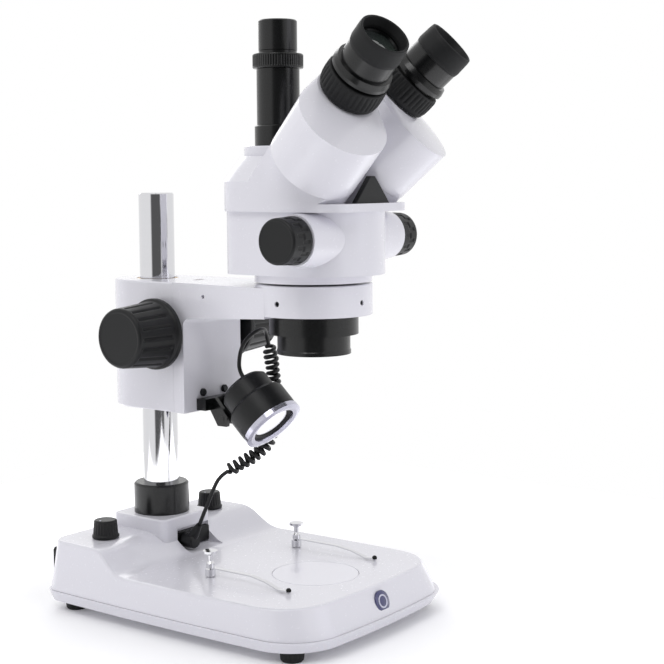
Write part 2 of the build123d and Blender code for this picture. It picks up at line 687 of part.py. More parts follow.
def drum_parts():
    drum = drum_plane(-1)
    eye = eye_plane(-1)
    cap = 6.0
    tube_bore = 14.8
    sleeve_r = 17.2
    with BuildPart() as housing:
        with BuildSketch(Plane(origin=Vector(drum.origin) - drum.z_dir * drum_length,
                               x_dir=drum.x_dir, z_dir=drum.z_dir)):
            Circle(drum_r)
        extrude(amount=drum_length)
        with BuildSketch(drum):
            Circle(drum_r)
        with BuildSketch(Plane(origin=Vector(eye.origin) + eye.z_dir * cap, x_dir=eye.x_dir,
                               z_dir=eye.z_dir)):
            Circle(26.0)
        loft()
        with BuildSketch(Plane(origin=Vector(drum.origin) - drum.z_dir * (drum_length - 3),
                               x_dir=drum.x_dir, z_dir=drum.z_dir)):
            Circle(drum_r - 3.5)
        extrude(amount=drum_length - 6, mode=Mode.SUBTRACT)
        with BuildSketch(drum):
            Circle(11)
        extrude(amount=-drum_length - 1, mode=Mode.SUBTRACT)
        with BuildSketch(eye):
            Circle(sleeve_r)
        extrude(amount=24)
        with BuildSketch(eye):
            Circle(tube_bore)
        extrude(amount=26, both=True, mode=Mode.SUBTRACT)
    save_pair(housing, "prism_housing")

    with BuildPart() as prism:
        with BuildSketch(Plane(origin=Vector(drum.origin) - drum.z_dir * (drum_length - 12),
                               x_dir=drum.x_dir, z_dir=drum.z_dir)):
            with BuildLine():
                Polyline((-14, -14), (34 - 14, -14), (-14, 34 - 14), close=True)
            make_face()
        extrude(amount=24)
    save_pair(prism, "prism")

    ring_bore = 20.0 + running_gap
    save_pair(turned(eye, [(ring_bore, 7.0), (24.0, 7.0), (26.0, 10.5), (26.4, 14.0),
                           (26.4, 24.5), (25.4, 27.0), (ring_bore, 27.0)]), "diopter_ring")
    save_pair(turned(eye, [(sleeve_r + running_gap, 9.6), (20.0, 9.6), (20.0, 30.0), (25.2, 30.0),
                           (25.2, 33.0), (23.8, 37.5), (21.2, 38.0), (21.2, 52.0), (18.0, 52.0),
                           (18.0, 60.0), (15.5, 60.0), (15.5, 28.0),
                           (sleeve_r + running_gap, 28.0)]), "eyepiece")
    save_pair(turned(eye, [(18.2, 52.2), (21.4, 52.2), (21.9, 55.0), (21.4, 66.5),
                           (20.9, eye_rim - 0.6), (20.0, eye_rim), (19.0, eye_rim - 0.6),
                           (17.0, 63.0), (17.0, 60.4), (18.2, 60.4)]), "eyecup")
    save_pair(turned(eye, [(0, 54.0), (15.3, 55.5), (15.3, 58.0), (0, 60.0)]), "eye_lens")


# ---- lamp and its cord -----------------------------------------------------------------------

def lamp_plane():
    """Face of the lamp, Z pointing back through the housing."""
    aim = Vector(0, math.cos(lamp_tilt), math.sin(lamp_tilt))
    return Plane(origin=lamp_face, x_dir=(1, 0, 0), z_dir=aim)


def lamp_parts():
    lamp = lamp_plane()
    housing = turned(lamp, [(22.6, 5.2), (27.4, 5.2), (27.6, 12.0), (27.6, 26.5), (25.6, 29.2),
                            (22.8, 29.6), (22.8, 44.8), (19.6, 48.0), (0, 48.0), (0, 45.0),
                            (18.0, 45.0), (19.8, 43.0), (19.8, 26.0), (22.6, 24.0)])
    with BuildPart() as body:
        add(housing.part)
        with BuildSketch(Plane.YZ.offset(-5.4)):
            with BuildLine():
                Polyline((lamp_pivot[1] - 5.5, lamp_pivot[2] - 3.0),
                         (lamp_pivot[1] + 3.6, lamp_pivot[2] - 4.4),
                         (lamp_pivot[1] + 5.2, lamp_pivot[2] + 2.6),
                         (lamp_pivot[1] - 4.0, lamp_pivot[2] + 14.0),
                         (lamp_pivot[1] - 13.4, lamp_pivot[2] + 4.4), close=True)
            make_face()
        extrude(amount=10.8)
        with Locations(Location(lamp_pivot, (0, 90, 0))):
            Cylinder(2.56, 30, mode=Mode.SUBTRACT)
    save(body, "lamp_housing")
    save(turned(lamp, [(20.5, 0.6), (24.0, 0), (28.0, 0.8), (28.1, 5.0), (22.6, 5.0),
                       (20.5, 3.2)]), "lamp_bezel")
    save(turned(lamp, [(0, 5.2), (22.4, 5.2), (22.4, 8.6), (0, 8.0)]), "lamp_lens")
    with BuildPart() as emitter:
        add(turned(lamp, [(0, 22.0), (22.4, 22.0), (22.4, 23.8), (0, 23.8)]).part)
        for x in (-9, 0, 9):
            for y in (-9, 0, 9):
                spot = Plane(origin=lamp.from_local_coords(Vector(x, y, 22.0)), x_dir=lamp.x_dir,
                             z_dir=-lamp.z_dir)
                add(turned(spot, [(0, 0), (2.4, 0), (2.4, 3.5), (1.2, 5.2), (0, 5.6)]).part)
    save(emitter, "lamp_leds")


def cord_tube(route, radius, name):
    """A tube of straight runs and tangent arcs along the route, and its least arc radius."""
    points = [Vector(*point) for point in route]
    radii = []
    for before, here, after in zip(points, points[1:], points[2:]):
        turn = math.radians((here - before).get_angle(after - here))
        shorter = min((here - before).length, (after - here).length)
        radii.append(0.45 * shorter / math.tan(turn / 2))
    with BuildPart() as tube:
        with BuildLine() as path:
            FilletPolyline(*points, radius=radii)
        with BuildSketch(Plane(origin=path.line @ 0, z_dir=path.line % 0)):
            Circle(radius)
        sweep(path=path.line)
    length = path.wires()[0].length
    print(name, "radii", [round(value, 1) for value in radii], "length", round(length, 1),
          "volume over section times length", round(tube.part.volume
                                                   / (math.pi * radius ** 2 * length), 4))
    save(tube, name)


def cord_parts():
    cord_tube(cord_top_route, cord_r, "cord_lead_upper")
    cord_tube(cord_curl_route, curl_r, "cord_curl")
    cord_tube(cord_low_route, cord_r, "cord_lead_lower")
    face = Plane(origin=(plug_axis[0], column_y - pedestal_half, plug_axis[2]), x_dir=(1, 0, 0),
                 z_dir=(0, -1, 0))
    relief_start = Vector(plug_axis[0], column_y - 41.5, 55.0)
    lean = (Vector(*relief_end) - relief_start).normalized()
    relief_length = (Vector(*relief_end) - relief_start).length
    with BuildPart() as plug:
        add(turned(face, [(0, -7.4), (3.2, -7.4), (3.2, 0.8), (6.0, 0.8), (6.7, 1.6), (6.7, 13.0),
                          (5.6, 14.6), (0, 15.0)]).part)
        add(turned(Plane(origin=relief_start, z_dir=lean),
                   [(0, 0), (5.0, 0), (4.6, 6.0), (2.6, relief_length), (0, relief_length)]).part)
    save(plug, "lamp_plug")


def main():
    base_parts()
    pillar_parts()
    electrical_parts()
    dimmer_parts()
    clip_parts()
    block_parts()
    carriage_parts()
    lower_head_parts()
    upper_head_parts()
    photo_parts()
    drum_parts()
    lamp_parts()
    cord_parts()


main()
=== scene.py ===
import json
import math

import bpy
import bmesh
import numpy as np
from mathutils import Matrix, Vector


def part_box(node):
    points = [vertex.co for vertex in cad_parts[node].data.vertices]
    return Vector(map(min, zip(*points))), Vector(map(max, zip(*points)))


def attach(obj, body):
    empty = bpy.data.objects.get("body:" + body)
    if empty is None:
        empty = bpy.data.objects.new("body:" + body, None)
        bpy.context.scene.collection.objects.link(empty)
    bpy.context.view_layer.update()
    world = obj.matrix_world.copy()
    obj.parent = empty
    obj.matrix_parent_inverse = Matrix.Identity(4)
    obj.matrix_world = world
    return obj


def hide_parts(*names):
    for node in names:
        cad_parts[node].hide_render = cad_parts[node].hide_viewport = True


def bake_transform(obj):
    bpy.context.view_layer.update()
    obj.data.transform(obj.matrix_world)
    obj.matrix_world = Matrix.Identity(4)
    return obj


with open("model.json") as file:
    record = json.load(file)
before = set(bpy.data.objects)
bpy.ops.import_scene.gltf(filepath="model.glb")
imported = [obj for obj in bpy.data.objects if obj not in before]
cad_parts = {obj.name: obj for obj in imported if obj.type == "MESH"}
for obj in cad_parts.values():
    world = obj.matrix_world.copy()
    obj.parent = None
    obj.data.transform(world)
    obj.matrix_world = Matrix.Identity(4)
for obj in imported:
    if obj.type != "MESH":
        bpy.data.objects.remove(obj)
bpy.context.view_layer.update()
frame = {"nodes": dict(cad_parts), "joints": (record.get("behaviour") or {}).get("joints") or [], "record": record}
nodes = frame["nodes"]
joints = {joint["name"]: joint for joint in frame["joints"]}
mm = 0.001
print("frame loaded:", len(nodes), "nodes")


cameraSet = {
    "place": (-0.9614, -0.7824, 0.3854),   # metres
    "yaw": -0.940,          # turn about the vertical, radians
    "pitch": 0.111,         # looking down
    "roll": -0.005,
    "lens": 77.6,           # mm, on a sensor 36 mm wide
    "shift": (-0.0098, 0.0029),
}


def makeCamera(settings):
    data = bpy.data.cameras.new("mainCamera")
    data.lens = settings["lens"]
    data.sensor_width = 36.0
    data.shift_x, data.shift_y = settings["shift"]
    data.clip_end = 20.0
    camera = bpy.data.objects.new("mainCamera", data)
    bpy.context.scene.collection.objects.link(camera)
    turn = Matrix.Rotation(settings["yaw"], 4, "Z")
    turn = turn @ Matrix.Rotation(math.pi / 2 - settings["pitch"], 4, "X")
    turn = turn @ Matrix.Rotation(settings["roll"], 4, "Z")
    camera.matrix_world = Matrix.Translation(settings["place"]) @ turn
    bpy.context.scene.camera = camera


makeCamera(cameraSet)
print("camera made")


def meshObject(name, points, faces, smooth=True):
    # points is an n by 3 array, faces a list of index tuples or an m by 4 array
    mesh = bpy.data.meshes.new(name)
    mesh.from_pydata(np.asarray(points).tolist(), [], np.asarray(faces).tolist())
    work = bmesh.new()
    work.from_mesh(mesh)
    bmesh.ops.remove_doubles(work, verts=work.verts, dist=1e-7)
    bmesh.ops.recalc_face_normals(work, faces=work.faces)
    work.to_mesh(mesh)
    work.free()
    mesh.polygons.foreach_set("use_smooth", np.full(len(mesh.polygons), smooth))
    piece = bpy.data.objects.new(name, mesh)
    bpy.context.scene.collection.objects.link(piece)
    return piece


def gridFaces(rows, columns, wrapRows=False, wrapColumns=True):
    # quads of a grid of rows by columns, either way round closed if asked
    rowEnd = rows if wrapRows else rows - 1
    columnEnd = columns if wrapColumns else columns - 1
    i, j = np.meshgrid(np.arange(rowEnd), np.arange(columnEnd), indexing="ij")
    nextRow, nextColumn = (i + 1) % rows, (j + 1) % columns
    corners = (i * columns + j, nextRow * columns + j,
               nextRow * columns + nextColumn, i * columns + nextColumn)
    return np.stack([corner.ravel() for corner in corners], axis=1)


def crossAxes(axis):
    # two unit vectors square to the axis
    axis = np.asarray(axis, float) / np.linalg.norm(axis)
    side = np.cross(axis, (0.0, 0.0, 1.0))
    if np.linalg.norm(side) < 1e-3:
        side = np.array((1.0, 0.0, 0.0))
    side = side / np.linalg.norm(side)
    return axis, side, np.cross(axis, side)


def turnedPiece(name, origin, axis, profile, columns=256, relief=None, closed=False):
    # a profile of (radius, height) in mm turned about an axis through origin, in metres;
    # relief(height, angle) in mm is added to the radius; closed joins the profile's ends
    axis, side, other = crossAxes(axis)
    radius, height = np.array(profile, float).T
    angle = np.linspace(0.0, 2 * math.pi, columns, endpoint=False)
    heights, angles = np.meshgrid(height, angle, indexing="ij")
    radii = np.repeat(radius[:, None], columns, axis=1)
    if relief is not None:
        radii = radii + relief(heights, angles) * (radii > 0.01)
    round_ = np.cos(angles)[..., None] * side + np.sin(angles)[..., None] * other
    points = np.asarray(origin) + mm * (heights[..., None] * axis + radii[..., None] * round_)
    faces = gridFaces(len(radius), columns, wrapRows=closed)
    return meshObject(name, points.reshape(-1, 3), faces)


def fineProfile(profile, step=0.6):
    # the same profile with extra points, none further apart than step, so ribs have rows
    fine = [profile[0]]
    for start, end in zip(profile, profile[1:]):
        count = max(1, int(math.dist(start, end) / step))
        fine += [(start[0] + (end[0] - start[0]) * k / count,
                  start[1] + (end[1] - start[1]) * k / count) for k in range(1, count + 1)]
    return fine


def ease(value, low, high):
    # 0 below low, 1 above high, smoothstep between
    t = np.clip((value - low) / (high - low), 0.0, 1.0)
    return t * t * (3 - 2 * t)


def window(value, low, high, soft):
    # 1 between low and high, fading to 0 over soft at each end
    return ease(value, low, low + soft) * (1 - ease(value, high - soft, high))


def fromHex(code):
    # sRGB hex to linear RGBA
    parts = [int(code[k:k + 2], 16) / 255 for k in (1, 3, 5)]
    return [p / 12.92 if p < 0.04045 else ((p + 0.055) / 1.055) ** 2.4 for p in parts] + [1.0]


def addNode(tree, kind, links=None, **settings):
    # one node with its socket values and links; a link is (node, its output's name)
    node = tree.nodes.new(kind)
    for key, value in settings.items():
        if hasattr(node, key) and key not in node.inputs.keys():
            setattr(node, key, value)
        else:
            node.inputs[key.replace("_", " ")].default_value = value
    for key, (source, output) in (links or {}).items():
        tree.links.new(source.outputs[output], node.inputs[key])
    return node


broadGrain = 30.0           # size of the clouding of every colour, mm
reliefDepth = 0.1           # height of the bump that strength 1 stands for, mm


def surface(name, colour, roughness, metallic=0.0, grain=0.5, bump=0.1, spread=0.15,
            tint=None, coat=0.0, ior=1.5, roughSpread=0.08, emission=0.0, stretch=(1, 1, 1),
            shine=0.5):
    # one shader with colour, roughness and relief varied by noise whose grain is in mm
    material = bpy.data.materials.new(name)
    material.use_nodes = True
    tree = material.node_tree
    tree.nodes.clear()
    place = addNode(tree, "ShaderNodeTexCoord")
    scaled = addNode(tree, "ShaderNodeMapping", {"Vector": (place, "Object")})
    scaled.inputs["Scale"].default_value = stretch
    broad = addNode(tree, "ShaderNodeTexNoise", {"Vector": (scaled, "Vector")})
    broad.inputs["Scale"].default_value = 1 / (broadGrain * mm)
    broad.inputs["Detail"].default_value = 4.0
    fine = addNode(tree, "ShaderNodeTexNoise", {"Vector": (scaled, "Vector")})
    fine.inputs["Scale"].default_value = 1 / (grain * mm)
    fine.inputs["Detail"].default_value = 3.0
    ramp = addNode(tree, "ShaderNodeMix", {"Factor": (broad, "Fac")}, data_type="RGBA")
    base = fromHex(colour)
    other = fromHex(tint) if tint else [c * (1 - spread) for c in base[:3]] + [1.0]
    ramp.inputs[6].default_value = base
    ramp.inputs[7].default_value = other
    dull = addNode(tree, "ShaderNodeMapRange", {"Value": (fine, "Fac")})
    dull.inputs["To Min"].default_value = max(0.0, roughness - roughSpread)
    dull.inputs["To Max"].default_value = min(1.0, roughness + roughSpread)
    relief = addNode(tree, "ShaderNodeBump", {"Height": (fine, "Fac")})
    relief.inputs["Strength"].default_value = bump
    relief.inputs["Distance"].default_value = reliefDepth * mm
    shader = addNode(tree, "ShaderNodeBsdfPrincipled", {"Roughness": (dull, "Result"),
                                                       "Normal": (relief, "Normal")})
    tree.links.new(ramp.outputs[2], shader.inputs["Base Color"])
    shader.inputs["Metallic"].default_value = metallic
    shader.inputs["IOR"].default_value = ior
    shader.inputs["Coat Weight"].default_value = coat
    shader.inputs["Specular IOR Level"].default_value = shine
    if emission:
        shader.inputs["Emission Color"].default_value = base
        shader.inputs["Emission Strength"].default_value = emission
    addNode(tree, "ShaderNodeOutputMaterial", {"Surface": (shader, "BSDF")})
    return material


# Stove enamel sprayed on die-cast aluminium: a hard even gloss with a faint orange peel
enamel = surface("stoveEnamelWhite", "#DAD9E1", 0.26, grain=2.2, bump=0.05, spread=0.03,
                 coat=0.35, roughSpread=0.04)
# Moulded ABS with a spark-eroded texture: near black, satin, fine matt grain
moulded = surface("mouldedAbsBlack", "#101113", 0.44, grain=0.7, bump=0.35, spread=0.25,
                  shine=0.32)
# Nitrile rubber: deep black, dull, slightly dusty
rubber = surface("nitrileRubberBlack", "#0D0E0F", 0.60, grain=0.5, bump=0.25, spread=0.3,
                 tint="#131416", shine=0.3)
# Anodised aluminium, turned on a lathe: black with a soft metal sheen
anodised = surface("anodisedAluminiumBlack", "#08090A", 0.28, grain=0.8, bump=0.08,
                   coat=0.12, stretch=(1, 1, 6), shine=0.4)
# Hard chrome on ground steel: a mirror with very light grinding marks round the bar
chrome = surface("hardChrome", "#DADADD", 0.07, metallic=1.0, grain=1.2, bump=0.02, spread=0.03,
                 roughSpread=0.03, stretch=(1, 1, 14))
# Blackened screw steel
screwSteel = surface("blackenedSteel", "#2A2B2E", 0.38, metallic=0.8, grain=0.6, bump=0.1)
# Machined steel of the shafts and lens carriers
machined = surface("machinedSteel", "#9A9BA0", 0.28, metallic=1.0, grain=0.6, bump=0.1)
# Cast bearing brass
brass = surface("bearingBrass", "#B08D4A", 0.30, metallic=1.0, grain=0.8, bump=0.1)
# Coated optical glass: a dark body under a hard reflection with a purple-green bloom
lensGlass = surface("coatedLensGlass", "#2B2630", 0.04, grain=6.0, bump=0.0, tint="#2C3A30",
                    coat=1.0, ior=1.7, roughSpread=0.02)
# Opal glass of the lit stage: milky white, faintly frosted
opal = surface("opalStageGlass", "#DCDBE4", 0.22, grain=1.0, bump=0.03, spread=0.04, coat=0.5)
# Diffuser of the lamp, glowing a little
diffuser = surface("lampDiffuser", "#F6F6FB", 0.3, grain=2.0, bump=0.4, spread=0.05,
                   emission=0.35)
# Polished aluminium rim of the lamp
brightRim = surface("polishedAluminium", "#C9C8D6", 0.18, metallic=0.85, grain=1.0, bump=0.05)
# Glass-fibre circuit board with green solder mask
board = surface("solderMaskGreen", "#1E5A3A", 0.35, grain=1.5, bump=0.2, spread=0.3)
# Polyurethane cord jacket: black satin, faint extrusion grain
jacket = surface("polyurethaneJacket", "#0C0D0E", 0.40, grain=0.6, bump=0.15, coat=0.1,
                 shine=0.35)
# Printed badge: dark blue enamel and a light ring
badgeBlue = surface("badgeBlue", "#2B2C63", 0.25, grain=1.0, bump=0.03, coat=0.6)
badgeLight = surface("badgeLight", "#C9C9DC", 0.3, grain=1.0, bump=0.03, coat=0.4)

slotMaterial = {
    "white_enamel": enamel, "black_moulding": moulded, "black_rubber": rubber,
    "black_anodised": anodised, "chromed_steel": chrome, "screw_steel": machined,
    "bearing_brass": brass, "optical_glass": lensGlass, "opal_plastic": opal,
    "bright_ring": brightRim, "circuit_board": board, "cord_jacket": jacket,
}
nodeMaterial = {
    "base_tray": enamel,
    "lamp_lens": diffuser, "carriage_screws": screwSteel, "base_screws": screwSteel,
    "head_screws": screwSteel, "diopter_ring_left": moulded, "diopter_ring_right": moulded,
}


def dress(piece, material):
    piece.data.materials.clear()
    piece.data.materials.append(material)
    return piece


def seat(piece, material, body, node=None):
    # give a made piece its finish, the body it rides on and the node it replaces
    dress(piece, material)
    if node:
        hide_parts(node)
    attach(piece, body)


for part in frame["record"]["subparts"]:
    chosen = nodeMaterial.get(part["node"], slotMaterial[part["material_slot"]])
    dress(nodes[part["node"]], chosen)
print("materials made and given to the nodes")


columnY = 0.1251            # pillar axis in the frame

cordSet = {
    "wireRadius": 1.8 * mm,
    "curlRadius": 6.9 * mm,         # outside of the curls
    "pitch": (5.0 * mm, 5.9 * mm),  # at the lamp's end and at the plug's end
    "round": 14,                    # points round the wire
    "turnPoints": 24,               # points in each turn of the curl
    "top": [(-4.0, -106.35, 206.55), (-4.0, -99.75, 212.65), (-3.0, -99.0, 226.0),
            (-1.5, -102.5, 238.0), (3.5, -107.0, 245.5), (11.5, -110.0, 249.6),
            (21.0, -109.0, 249.3), (28.9, -104.4, 243.2), (31.41, -104.49, 234.8)],
    "curl": [(31.5, -104.5, 234.5), (36.0, -104.7, 219.5), (36.6, -106.0, 200.0),
             (37.0, -106.6, 179.0), (35.5, -106.0, 159.0), (29.5, -104.0, 143.5),
             (19.5, -96.5, 133.5), (11.0, -86.0, 126.5), (4.5, -76.5, 119.0)],
    "low": [(4.36, -76.29, 118.84), (0.6, -70.8, 114.5), (-1.6, -64.6, 101.5),
            (-3.3, -58.2, 85.5), (-4.6, -50.5, 68.5)],
}


def routeLine(name, route, steps):
    # points of the smooth line through a given route, as an array in metres
    curve = bpy.data.curves.new(name, "CURVE")
    curve.dimensions = "3D"
    curve.resolution_u = steps
    spline = curve.splines.new("NURBS")
    spline.points.add(len(route) - 1)
    for point, (x, y, z) in zip(spline.points, route):
        point.co = (x * mm, y * mm + columnY, z * mm, 1.0)
    spline.order_u = 3
    spline.use_endpoint_u = True
    holder = bpy.data.objects.new(name, curve)
    bpy.context.scene.collection.objects.link(holder)
    mesh = bpy.data.meshes.new_from_object(holder)
    line = np.zeros(len(mesh.vertices) * 3)
    mesh.vertices.foreach_get("co", line)
    bpy.data.objects.remove(holder)
    return line.reshape(-1, 3)


def alongLine(line):
    # distance along a line at each of its points
    return np.concatenate([[0.0], np.cumsum(np.linalg.norm(np.diff(line, axis=0), axis=1))])


def sampleLine(line, distances):
    along = alongLine(line)
    return np.stack([np.interp(distances, along, line[:, k]) for k in range(3)], axis=1)


def lineFrames(line):
    # tangents and a pair of side vectors that don't twist about the line
    tangent = np.gradient(line, axis=0)
    tangent /= np.linalg.norm(tangent, axis=1)[:, None]
    side = np.zeros_like(line)
    side[0] = crossAxes(tangent[0])[1]
    for k in range(1, len(line)):
        side[k] = side[k - 1] - tangent[k] * np.dot(side[k - 1], tangent[k])
        side[k] /= np.linalg.norm(side[k])
    return tangent, side, np.cross(tangent, side)


def helixLine(line, settings):
    # a helix round the line: it starts and ends on the line and swells over the first turn
    length = alongLine(line)[-1]
    coarse = np.linspace(0.0, length, 400)
    pitch = np.interp(coarse, [0.0, length], settings["pitch"])
    turns = np.concatenate([[0.0], np.cumsum(np.diff(coarse) / pitch[1:])])
    count = int(turns[-1] * settings["turnPoints"])
    phase = np.linspace(0.0, turns[-1], count)
    distances = np.interp(phase, turns, coarse)
    centre = sampleLine(line, distances)
    _, side, other = lineFrames(centre)
    size = settings["curlRadius"] - settings["wireRadius"]
    swell = size * np.minimum(ease(phase, 0.0, 0.9), ease(turns[-1] - phase, 0.0, 0.9))
    wobble = 1 - 0.05 * (1 + np.sin(phase * 1.7))      # hand-wound curls are never all alike
    angle = 2 * math.pi * phase
    ring = np.cos(angle)[:, None] * side + np.sin(angle)[:, None] * other
    return centre + (swell * wobble)[:, None] * ring


def tubeMesh(name, line, radius, columns):
    # rings square to the line, closed at both ends
    _, side, other = lineFrames(line)
    angle = np.linspace(0.0, 2 * math.pi, columns, endpoint=False)
    ring = (np.cos(angle)[None, :, None] * side[:, None]
            + np.sin(angle)[None, :, None] * other[:, None])
    points = (line[:, None] + radius * ring).reshape(-1, 3)
    faces = [tuple(face) for face in gridFaces(len(line), columns).tolist()]
    faces.append(tuple(range(columns)))
    faces.append(tuple(range(len(points) - columns, len(points))))
    mesh = bpy.data.meshes.new(name)
    mesh.from_pydata(points.tolist(), [], faces)
    work = bmesh.new()
    work.from_mesh(mesh)
    bmesh.ops.recalc_face_normals(work, faces=work.faces)
    work.to_mesh(mesh)
    work.free()
    mesh.polygons.foreach_set("use_smooth", np.ones(len(mesh.polygons), bool))
    piece = bpy.data.objects.new(name, mesh)
    bpy.context.scene.collection.objects.link(piece)
    return piece


def makeCord(settings):
    # one wire from the lamp to the plug, in four lengths, each listed with the bodies at its two ends
    top = routeLine("routeTop", settings["top"], 12)
    curl = helixLine(routeLine("routeCurl", settings["curl"], 24), settings)
    low = routeLine("routeLow", settings["low"], 12)
    cut = [0, len(curl) // 3, 2 * len(curl) // 3, len(curl) - 1]
    lengths = [
        ("cordTop", top, "lamp", "carriage", ["cord_lead_upper"]),
        ("cordCurlUpper", curl[cut[0]:cut[1] + 1], "carriage", "block", ["cord_curl"]),
        ("cordCurlMiddle", curl[cut[1]:cut[2] + 1], "block", "bush", []),
        ("cordCurlLower", np.concatenate([curl[cut[2]:], low]), "bush", "stand",
         ["cord_lead_lower"]),
    ]
    for name, line, above, below, replaced in lengths:
        piece = dress(tubeMesh(name, line, settings["wireRadius"], settings["round"]), jacket)
        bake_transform(piece)
        if replaced:
            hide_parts(*replaced)


makeCord(cordSet)
print("cord made")


def hingeOf(name):
    joint = joints[name]
    return Vector(joint["pos_m"]), Vector(joint["axis"]).normalized()


def ribs(count, depth, low, high, sharp=1.0, soft=1.0):
    # relief of count ribs cut depth mm deep between two heights: sharp narrows the grooves
    # and soft is the fade at their ends
    def relief(height, angle):
        wave = 0.5 - 0.5 * np.cos(count * angle)
        return -depth * np.power(1 - wave, sharp) * window(height, low, high, soft)
    return relief


focusKnobSet = {"ribs": 18, "cut": 1.5, "low": 54.5, "high": 90.0}


def focusKnobs(settings):
    centre, _ = hingeOf("focus_turn")
    profile = [(5.0, 39.1), (14.9, 39.1), (14.9, 46.1), (30.6, 46.1), (31.3, 46.8), (31.3, 50.6),
               (30.6, 51.6), (29.2, 52.4), (28.9, 54.0), (26.0, 90.4), (25.4, 91.8),
               (24.2, 92.8), (22.6, 93.0), (21.8, 92.6), (0.0, 92.5)]
    outline = fineProfile(profile) + [(0.0, 86.3), (5.0, 86.3)]
    relief = ribs(settings["ribs"], settings["cut"], settings["low"], settings["high"], 6.0, 2.5)
    for side, node in ((-1, "focus_knob_left"), (1, "focus_knob_right")):
        knob = turnedPiece("focusKnob" + ("Left" if side < 0 else "Right"), centre, (side, 0, 0),
                           outline, 360, relief, closed=True)
        seat(knob, moulded, "focus_drive", node)


focusKnobs(focusKnobSet)


zoomKnobSet = {"pads": 12, "cut": 0.9, "low": 68.0, "high": 82.5}


def zoomKnobs(settings):
    # a rim with blocks in two staggered rows, cut in from the cylinder
    centre, _ = hingeOf("zoom_turn")
    middle = (settings["low"] + settings["high"]) / 2

    def relief(height, angle):
        early = np.cos(settings["pads"] * angle) > 0.55
        late = np.cos(settings["pads"] * angle + math.pi) > 0.55
        first = early * window(height, settings["low"], middle + 1.5, 0.8)
        second = late * window(height, middle - 1.5, settings["high"], 0.8)
        bridge = (np.abs(height - middle) < 1.2) * (np.sin(settings["pads"] * angle) > 0)
        return -settings["cut"] * np.maximum(np.maximum(first, second), bridge)

    profile = [(4.0, 65.0), (18.9, 65.0), (19.6, 65.8), (18.5, 86.0), (17.6, 87.0), (16.4, 87.4),
               (15.8, 87.1), (0.0, 87.0), (0.0, 84.3), (4.0, 84.3)]
    for side, node in ((-1, "zoom_knob_left"), (1, "zoom_knob_right")):
        knob = turnedPiece("zoomKnob" + ("Left" if side < 0 else "Right"), centre, (side, 0, 0),
                           fineProfile(profile), 360, relief, closed=True)
        seat(knob, moulded, "zoom_drive", node)


zoomKnobs(zoomKnobSet)


dimmerSet = {"ribs": 24, "cut": 0.45, "low": 3.5, "high": 15.0}


def dimmerKnobs(settings):
    profile = [(3.05, 0.0), (11.4, 0.0), (12.1, 0.8), (12.1, 2.6), (11.2, 3.4), (10.3, 15.2),
               (9.6, 16.2), (8.4, 16.6), (7.6, 16.3), (0.0, 16.2), (0.0, 13.2), (3.05, 13.2)]
    relief = ribs(settings["ribs"], settings["cut"], settings["low"], settings["high"], 3.0, 1.0)
    for name in ("left", "right"):
        origin, axis = hingeOf("dimmer_" + name + "_turn")
        low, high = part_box("dimmer_knob_" + name)
        knob = turnedPiece("dimmerKnob" + name.capitalize(), (origin.x, origin.y, low.z), axis,
                           fineProfile(profile), 240, relief, closed=True)
        seat(knob, moulded, "dimmer_" + name, "dimmer_knob_" + name)
        mark = turnedPiece("dimmerMark" + name.capitalize(),
                           (origin.x - 6.4 * mm, origin.y, high.z - 0.35 * mm), axis,
                           [(0.0, 0.0), (0.9, 0.0), (0.9, 0.25), (0.6, 0.4), (0.0, 0.4)], 32)
        seat(mark, badgeLight, "dimmer_" + name)


dimmerKnobs(dimmerSet)


gripSet = {"ribs": 36, "cut": 0.8, "low": 11.5, "high": 26.0}


def diopterGrips(settings):
    profile = [(20.05, 7.0), (23.4, 7.0), (24.6, 7.6), (25.4, 9.2), (25.7, 11.0), (26.2, 12.6),
               (26.4, 18.0), (26.0, 24.4), (25.2, 26.6), (24.2, 27.0), (20.05, 27.0)]
    relief = ribs(settings["ribs"], settings["cut"], settings["low"], settings["high"], 2.0, 1.2)
    for name in ("left", "right"):
        origin, axis = hingeOf("diopter_" + name + "_turn")
        grip = turnedPiece("diopterGrip" + name.capitalize(), origin, axis,
                           fineProfile(profile), 432, relief, closed=True)
        seat(grip, rubber, "diopter_" + name, "diopter_ring_" + name)


diopterGrips(gripSet)


lockSet = {"ribs": 20, "cut": 1.1}


def lockKnob(settings):
    centre, _ = hingeOf("pillar_lock")
    profile = [(0.0, 19.3), (4.0, 19.3), (4.0, 41.7), (11.6, 41.7), (12.4, 42.2), (14.4, 45.2),
               (14.5, 46.0), (14.4, 60.6), (13.2, 62.2), (12.0, 62.7), (10.8, 62.4),
               (0.0, 62.2)]
    knob = turnedPiece("heightLockKnob", (0.0, centre.y, centre.z), (1, 0, 0),
                       fineProfile(profile), 240,
                       ribs(settings["ribs"], settings["cut"], 46.5, 60.0, 3.0, 1.5))
    seat(knob, moulded, "height_lock", "pillar_lock_knob")


lockKnob(lockSet)


def photoLockRing():
    # knurled clamp ring of the photo tube
    low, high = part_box("photo_lock_ring")
    centre = ((low.x + high.x) / 2, (low.y + high.y) / 2, low.z)
    profile = [(16.6, 0.0), (20.9, 0.0), (21.5, 0.6), (21.5, 11.3), (20.7, 12.1), (16.6, 12.1)]
    ring = turnedPiece("photoClampRing", centre, (0, 0, 1), fineProfile(profile), 480,
                       ribs(60, 0.35, 1.2, 10.9, 1.0, 0.6), closed=True)
    seat(ring, anodised, "photo_lock", "photo_lock_ring")


photoLockRing()
print("knobs and grips made")


badgeSet = {
    "radius": 9.4,
    "height": 30.4,
    "lean": 0.33,           # of the badge's normal above level, radians
    "front": 253.7,         # from the pillar's axis to the base's front at the tray's top
    "trayTop": 19.0,
    "draft": 0.40,          # how far the front leans back for each mm of height
    "proud": 0.2,           # of the front
}


